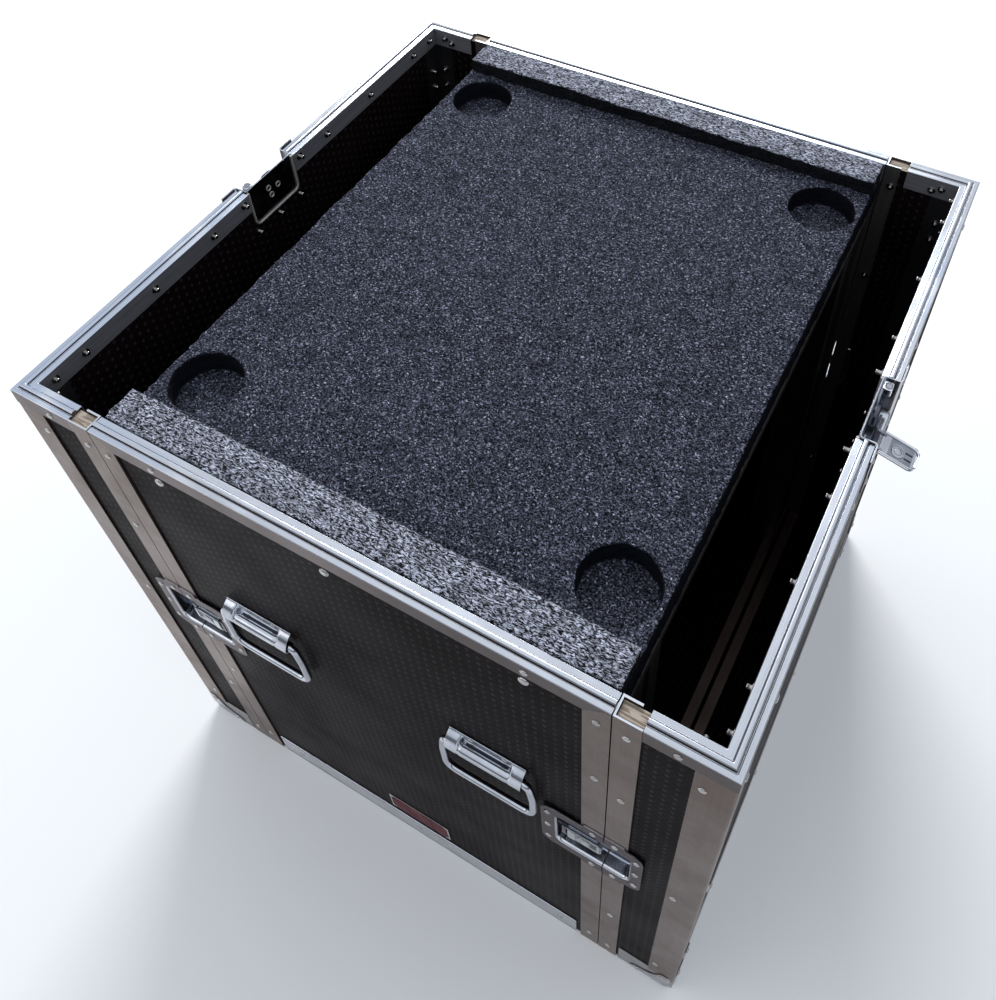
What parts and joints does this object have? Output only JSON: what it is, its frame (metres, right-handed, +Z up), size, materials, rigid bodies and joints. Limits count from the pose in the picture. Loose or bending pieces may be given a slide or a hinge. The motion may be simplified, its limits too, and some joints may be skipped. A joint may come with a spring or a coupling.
{
  "type": "flight case",
  "caption": "Foam-lined flight case with a rack bay, two lift-off end covers with recessed butterfly latches, and drop handles.",
  "frame": {"origin": "middle of the base, on the surface that the case stands on", "axes": "+X along the long near face towards the right cover, +Y from the near face (with the label plate) to the far face, +Z up"},
  "size_m": [0.7232, 0.6634, 0.687],
  "materials": {
    "laminate_panel": "black phenolic film with a fine pressed grid over plywood",
    "bare_plywood": "raw sawn plywood",
    "seam_aluminium": "brushed, slightly warm",
    "rim_aluminium": "bright drawn extrusion",
    "chrome": "bright plated steel",
    "zinc": "bright zinc-plated pressed steel",
    "dark_zinc": "dark passivated zinc",
    "corner_steel": "plated pressed steel with scuffs",
    "rail_steel": "plain zinc-plated steel",
    "foam": "open-cell charcoal foam with light grey flecks",
    "label": "dark red enamel, bare"
  },
  "bodies": {
    "case_body": {"near_side_panel": "laminate_panel", "far_side_panel": "laminate_panel", "floor_panel": "laminate_panel", "near_rim_extrusion": "rim_aluminium", "far_rim_extrusion": "rim_aluminium", "left_body_seam_frame": "seam_aluminium", "right_body_seam_frame": "seam_aluminium", "near_bottom_angle": "rim_aluminium", "far_bottom_angle": "rim_aluminium", "foam_tray_carcass": "bare_plywood", "near_left_rack_rail": "rail_steel", "near_right_rack_rail": "rail_steel", "far_left_rack_rail": "rail_steel", "far_right_rack_rail": "rail_steel", "foam_liner": "foam", "label_plate": "label", "near_left_handle_plate": "chrome", "near_left_latch_dish": "zinc", "near_right_handle_plate": "chrome", "near_right_latch_dish": "zinc", "far_left_handle_plate": "chrome", "far_left_latch_dish": "zinc", "far_right_handle_plate": "chrome", "far_right_latch_dish": "zinc"},
    "near_left_handle": {"near_left_handle_bail": "chrome"},
    "near_left_latch_cam": {"near_left_latch_spindle": "dark_zinc"},
    "near_left_latch_key": {"near_left_latch_wing": "zinc"},
    "near_right_handle": {"near_right_handle_bail": "chrome"},
    "near_right_latch_cam": {"near_right_latch_spindle": "dark_zinc"},
    "near_right_latch_key": {"near_right_latch_wing": "zinc"},
    "far_left_handle": {"far_left_handle_bail": "chrome"},
    "far_left_latch_cam": {"far_left_latch_spindle": "dark_zinc"},
    "far_left_latch_key": {"far_left_latch_wing": "zinc"},
    "far_right_handle": {"far_right_handle_bail": "chrome"},
    "far_right_latch_cam": {"far_right_latch_spindle": "dark_zinc"},
    "far_right_latch_key": {"far_right_latch_wing": "zinc"},
    "left_cover": {"left_cover_shell": "laminate_panel", "left_cover_near_rim": "rim_aluminium", "left_cover_far_rim": "rim_aluminium", "left_cover_seam_frame": "seam_aluminium", "left_cover_edge_angles": "seam_aluminium", "left_near_steel_corner": "corner_steel", "left_far_steel_corner": "corner_steel", "near_left_latch_strike": "zinc", "far_left_latch_strike": "zinc", "left_lid_latch_dish": "zinc"},
    "left_lid_latch_cam": {"left_lid_latch_spindle": "dark_zinc"},
    "left_lid_latch_key": {"left_lid_latch_wing": "zinc"},
    "right_cover": {"right_cover_shell": "laminate_panel", "right_cover_near_rim": "rim_aluminium", "right_cover_far_rim": "rim_aluminium", "right_cover_seam_frame": "seam_aluminium", "right_cover_edge_angles": "seam_aluminium", "right_near_steel_corner": "corner_steel", "right_far_steel_corner": "corner_steel", "near_right_latch_strike": "zinc", "far_right_latch_strike": "zinc", "right_lid_latch_dish": "zinc"},
    "right_lid_latch_cam": {"right_lid_latch_spindle": "dark_zinc"},
    "right_lid_latch_key": {"right_lid_latch_wing": "zinc"}
  },
  "joints": [
    {"name": "near_left_handle_swing", "type": "hinge", "parent": "case_body", "child": "near_left_handle", "pos_m": [-0.122, -0.3255, 0.4515], "axis": [-1, 0, 0], "range_deg": [0, 95]},
    {"name": "near_left_latch_turn", "type": "hinge", "parent": "case_body", "child": "near_left_latch_cam", "pos_m": [-0.2155, -0.32, 0.364], "axis": [0, -1, 0], "range_deg": [0, 90]},
    {"name": "near_left_wing_fold", "type": "hinge", "parent": "near_left_latch_cam", "child": "near_left_latch_key", "pos_m": [-0.1977, -0.3179, 0.364], "axis": [0, 0, 1], "range_deg": [0, 106]},
    {"name": "near_right_handle_swing", "type": "hinge", "parent": "case_body", "child": "near_right_handle", "pos_m": [0.126, -0.3255, 0.4515], "axis": [-1, 0, 0], "range_deg": [0, 95]},
    {"name": "near_right_latch_turn", "type": "hinge", "parent": "case_body", "child": "near_right_latch_cam", "pos_m": [0.2155, -0.32, 0.364], "axis": [0, -1, 0], "range_deg": [0, 90]},
    {"name": "near_right_wing_fold", "type": "hinge", "parent": "near_right_latch_cam", "child": "near_right_latch_key", "pos_m": [0.1977, -0.3179, 0.364], "axis": [0, 0, -1], "range_deg": [0, 106]},
    {"name": "far_left_handle_swing", "type": "hinge", "parent": "case_body", "child": "far_left_handle", "pos_m": [-0.122, 0.3255, 0.4515], "axis": [1, 0, 0], "range_deg": [0, 95]},
    {"name": "far_left_latch_turn", "type": "hinge", "parent": "case_body", "child": "far_left_latch_cam", "pos_m": [-0.2155, 0.32, 0.364], "axis": [0, 1, 0], "range_deg": [0, 90]},
    {"name": "far_left_wing_fold", "type": "hinge", "parent": "far_left_latch_cam", "child": "far_left_latch_key", "pos_m": [-0.1977, 0.3179, 0.364], "axis": [0, 0, -1], "range_deg": [0, 106]},
    {"name": "far_right_handle_swing", "type": "hinge", "parent": "case_body", "child": "far_right_handle", "pos_m": [0.126, 0.3255, 0.4515], "axis": [1, 0, 0], "range_deg": [0, 95]},
    {"name": "far_right_latch_turn", "type": "hinge", "parent": "case_body", "child": "far_right_latch_cam", "pos_m": [0.2155, 0.32, 0.364], "axis": [0, 1, 0], "range_deg": [0, 90]},
    {"name": "far_right_wing_fold", "type": "hinge", "parent": "far_right_latch_cam", "child": "far_right_latch_key", "pos_m": [0.1977, 0.3179, 0.364], "axis": [0, 0, 1], "range_deg": [0, 106]},
    {"name": "left_cover_lift_off", "type": "slide", "parent": "case_body", "child": "left_cover", "axis": [-1, 0, 0], "range_m": [0, 0.15]},
    {"name": "left_lid_latch_turn", "type": "hinge", "parent": "left_cover", "child": "left_lid_latch_cam", "pos_m": [-0.3275, 0, 0.665], "axis": [-1, 0, 0], "range_deg": [0, 90]},
    {"name": "left_lid_wing_fold", "type": "hinge", "parent": "left_lid_latch_cam", "child": "left_lid_latch_key", "pos_m": [-0.3254, 0, 0.6472], "axis": [0, -1, 0], "range_deg": [-106, 0]},
    {"name": "right_cover_lift_off", "type": "slide", "parent": "case_body", "child": "right_cover", "axis": [1, 0, 0], "range_m": [0, 0.15]},
    {"name": "right_lid_latch_turn", "type": "hinge", "parent": "right_cover", "child": "right_lid_latch_cam", "pos_m": [0.3275, 0, 0.665], "axis": [1, 0, 0], "range_deg": [0, 90]},
    {"name": "right_lid_wing_fold", "type": "hinge", "parent": "right_lid_latch_cam", "child": "right_lid_latch_key", "pos_m": [0.3254, 0, 0.6472], "axis": [0, 1, 0], "range_deg": [-106, 0]}
  ]
}
